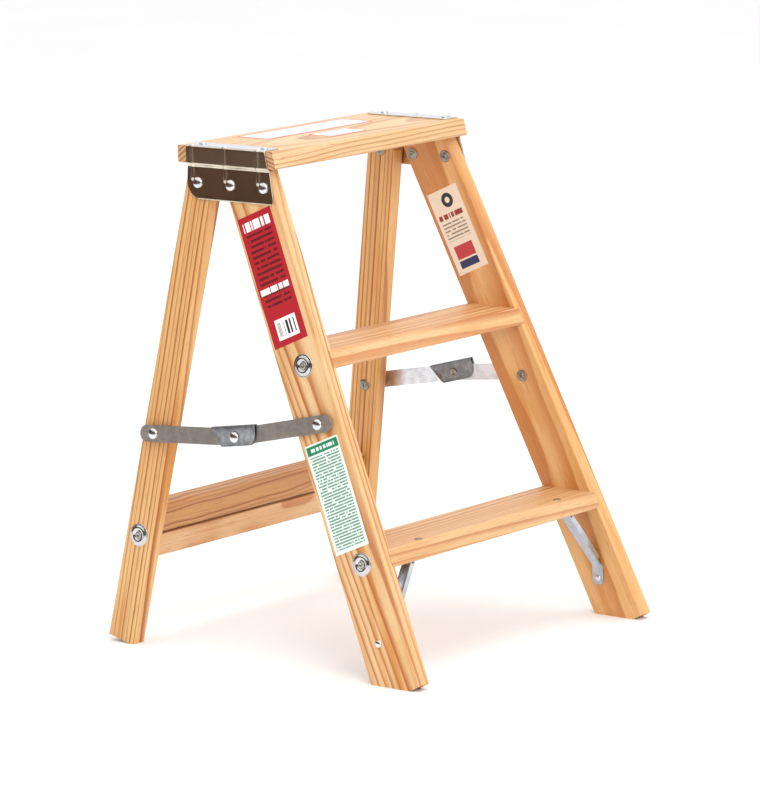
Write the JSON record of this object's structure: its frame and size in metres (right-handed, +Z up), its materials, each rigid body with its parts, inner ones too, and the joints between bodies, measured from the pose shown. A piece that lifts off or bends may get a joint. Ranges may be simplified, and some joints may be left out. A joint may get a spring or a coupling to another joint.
{
  "type": "step_ladder",
  "caption": "Folding wooden step ladder with two housed steps, a flat top board, pressed end plates, truss rods and folding side spreaders",
  "frame": {"origin": "centre of the footprint of the opened ladder on the floor", "axes": "+Z up, X across the ladder along the steps and rods, -Y the climbing side, +Y the rear legs"},
  "size_m": [0.428, 0.4449, 0.5653],
  "materials": {
    "pine_board": "satin",
    "pine_rail": "satin",
    "pine_step": "satin",
    "pine_leg": "satin",
    "pine_strip": "satin",
    "pressed_steel": "satin",
    "bright_rivet": "gloss",
    "zinc_washer": "satin",
    "drawn_rod": "satin",
    "brace_steel": "satin",
    "spreader_zinc": "satin",
    "red_paper": "satin",
    "green_paper": "satin",
    "cream_paper": "satin",
    "white_paper": "satin"
  },
  "bodies": {
    "front_frame": {"top_board": "pine_board", "left_front_rail": "pine_rail", "right_front_rail": "pine_rail", "lower_step": "pine_step", "middle_step": "pine_step", "left_end_plate": "pressed_steel", "right_end_plate": "pressed_steel", "plate_rivets": "bright_rivet", "plate_rivet_washers": "zinc_washer", "pivot_rivets": "bright_rivet", "flange_nails": "bright_rivet", "front_truss_rods": "drawn_rod", "front_truss_washers": "zinc_washer", "left_foot_brace": "brace_steel", "right_foot_brace": "brace_steel", "brace_foot_rivets": "bright_rivet", "brace_step_rivets": "bright_rivet", "spreader_front_rivets": "bright_rivet", "spreader_front_collars": "zinc_washer", "spreader_front_washers": "zinc_washer", "left_rail_upper_label": "red_paper", "left_rail_lower_label": "green_paper", "right_rail_inner_label": "cream_paper", "board_label": "white_paper", "board_sticker": "white_paper"},
    "rear_frame": {"left_rear_leg": "pine_leg", "right_rear_leg": "pine_leg", "upper_rear_strip": "pine_strip", "lower_rear_strip": "pine_strip", "rear_truss_rod": "drawn_rod", "rear_truss_washers": "zinc_washer", "leg_clinch_washers": "zinc_washer"},
    "left_front_bar": {"left_spreader_front_bar": "spreader_zinc"},
    "left_rear_bar": {"left_spreader_rear_bar": "spreader_zinc", "left_spreader_saddle": "spreader_zinc", "left_spreader_knee_rivet": "bright_rivet", "left_spreader_rear_rivet": "bright_rivet", "left_spreader_rear_collar": "zinc_washer"},
    "right_front_bar": {"right_spreader_front_bar": "spreader_zinc"},
    "right_rear_bar": {"right_spreader_rear_bar": "spreader_zinc", "right_spreader_saddle": "spreader_zinc", "right_spreader_knee_rivet": "bright_rivet", "right_spreader_rear_rivet": "bright_rivet", "right_spreader_rear_collar": "zinc_washer"}
  },
  "joints": [
    {"name": "rear_frame_fold", "type": "hinge", "parent": "front_frame", "child": "rear_frame", "pos_m": [0, 0.10644, 0.522], "axis": [-1, 0, 0], "range_deg": [0, 34.1]},
    {"name": "left_spreader_front_pivot", "type": "hinge", "parent": "front_frame", "child": "left_front_bar", "pos_m": [-0.19484, -0.07575, 0.27387], "axis": [0.9963, 0, -0.0857], "range_deg": [0, 76.57]},
    {"name": "left_spreader_knee_pivot", "type": "hinge", "parent": "left_front_bar", "child": "left_rear_bar", "pos_m": [-0.19701, 0.03838, 0.24876], "axis": [-0.9963, 0, 0.0857], "range_deg": [0, 155.34]},
    {"name": "right_spreader_front_pivot", "type": "hinge", "parent": "front_frame", "child": "right_front_bar", "pos_m": [0.19484, -0.07575, 0.27387], "axis": [0.9963, 0, 0.0857], "range_deg": [0, 70.13]},
    {"name": "right_spreader_knee_pivot", "type": "hinge", "parent": "right_front_bar", "child": "right_rear_bar", "pos_m": [0.1959, 0.04021, 0.26165], "axis": [-0.9963, 0, -0.0857], "range_deg": [0, 142.56]}
  ],
  "couplings": [
    {"joint": "left_spreader_front_pivot", "follows": "rear_frame_fold", "ratio": 2.2441},
    {"joint": "left_spreader_knee_pivot", "follows": "rear_frame_fold", "ratio": 4.5539},
    {"joint": "right_spreader_front_pivot", "follows": "rear_frame_fold", "ratio": 2.0551},
    {"joint": "right_spreader_knee_pivot", "follows": "rear_frame_fold", "ratio": 4.1792}
  ]
}
